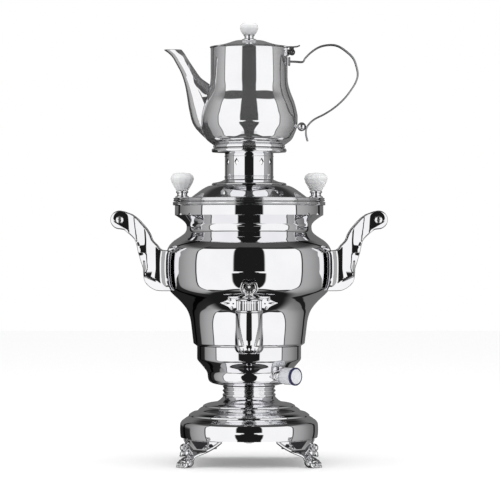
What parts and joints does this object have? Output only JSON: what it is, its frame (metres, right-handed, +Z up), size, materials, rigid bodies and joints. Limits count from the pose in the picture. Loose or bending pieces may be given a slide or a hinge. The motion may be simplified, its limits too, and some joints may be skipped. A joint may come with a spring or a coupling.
{
  "type": "samovar",
  "caption": "Electric samovar: round boiler on a stepped base with paw feet, front tap, side handles, and a teapot on a vented crown over the lid.",
  "frame": {"origin": "centre of the overall box, on the surface that the feet stand on", "axes": "+Z up, the tap faces -Y, the teapot's handle and the thermostat knob are on the +X side"},
  "size_m": [0.302, 0.2126, 0.4845],
  "materials": {
    "chrome": "polished",
    "steel": "plain",
    "acrylic": "clear, faceted",
    "white_plastic": "satin",
    "black_plastic": "matte",
    "navy_plastic": "gloss",
    "silicone": "matte"
  },
  "bodies": {
    "samovar": {"base_dome": "chrome", "base_plate": "steel", "boiler_collar": "chrome", "boiler_cup": "chrome", "boiler_vessel": "chrome", "foot_front_left": "chrome", "foot_front_right": "chrome", "foot_rear_left": "chrome", "foot_rear_right": "chrome", "foot_screw_front_left": "black_plastic", "foot_screw_front_right": "black_plastic", "foot_screw_rear_left": "black_plastic", "foot_screw_rear_right": "black_plastic", "handle_arm_front_left": "chrome", "handle_arm_front_right": "chrome", "handle_arm_rear_left": "chrome", "handle_arm_rear_right": "chrome", "handle_cap_front_left": "chrome", "handle_cap_front_right": "chrome", "handle_cap_rear_left": "chrome", "handle_cap_rear_right": "chrome", "handle_pad_left": "chrome", "handle_pad_right": "chrome", "handle_rod_left": "chrome", "handle_rod_right": "chrome", "heater_housing": "chrome", "heating_element": "steel", "neck_ring": "chrome", "power_inlet": "black_plastic", "rim_ring": "chrome", "tap_back_plate": "chrome", "tap_body": "chrome", "tap_nut": "steel", "tap_outlet": "chrome", "tap_seal": "silicone", "tap_shank": "chrome", "thermostat_bezel": "chrome", "thermostat_case": "black_plastic", "tie_nut": "steel", "tie_stud": "steel", "tie_washer": "steel"},
    "boiler_lid_body": {"boiler_lid": "chrome", "lid_grip_left": "acrylic", "lid_grip_left_ferrule": "chrome", "lid_grip_right": "acrylic", "lid_grip_right_ferrule": "chrome"},
    "crown_body": {"crown_shell": "chrome", "crown_tray": "chrome"},
    "teapot": {"teapot_body": "chrome", "teapot_spout": "chrome", "teapot_handle": "chrome", "handle_ball": "chrome", "hinge_bracket": "chrome", "hinge_pin": "steel"},
    "teapot_lid_body": {"teapot_lid": "chrome", "teapot_grip": "acrylic", "teapot_grip_ferrule": "chrome"},
    "tap_key_body": {"tap_key": "chrome"},
    "thermostat_knob_body": {"thermostat_knob": "white_plastic", "thermostat_knob_ring": "navy_plastic"}
  },
  "joints": [
    {"name": "boiler_lid_lift", "type": "slide", "parent": "samovar", "child": "boiler_lid_body", "axis": [0, 0, 1], "range_m": [0, 0.08]},
    {"name": "crown_lift", "type": "slide", "parent": "boiler_lid_body", "child": "crown_body", "axis": [0, 0, 1], "range_m": [0, 0.06]},
    {"name": "teapot_lift", "type": "slide", "parent": "crown_body", "child": "teapot", "axis": [0, 0, 1], "range_m": [0, 0.1]},
    {"name": "teapot_lid_hinge", "type": "hinge", "parent": "teapot", "child": "teapot_lid_body", "pos_m": [0.0475, 0.01445, 0.4518], "axis": [0, 1, 0], "range_deg": [0, 90]},
    {"name": "tap_key_turn", "type": "hinge", "parent": "samovar", "child": "tap_key_body", "pos_m": [0, -0.09055, 0.1832], "axis": [0, 0, 1], "range_deg": [0, 90]},
    {"name": "thermostat_turn", "type": "hinge", "parent": "samovar", "child": "thermostat_knob_body", "pos_m": [0.03769, -0.02195, 0.097], "axis": [0.7193, -0.6947, 0], "range_deg": [0, 270]}
  ]
}
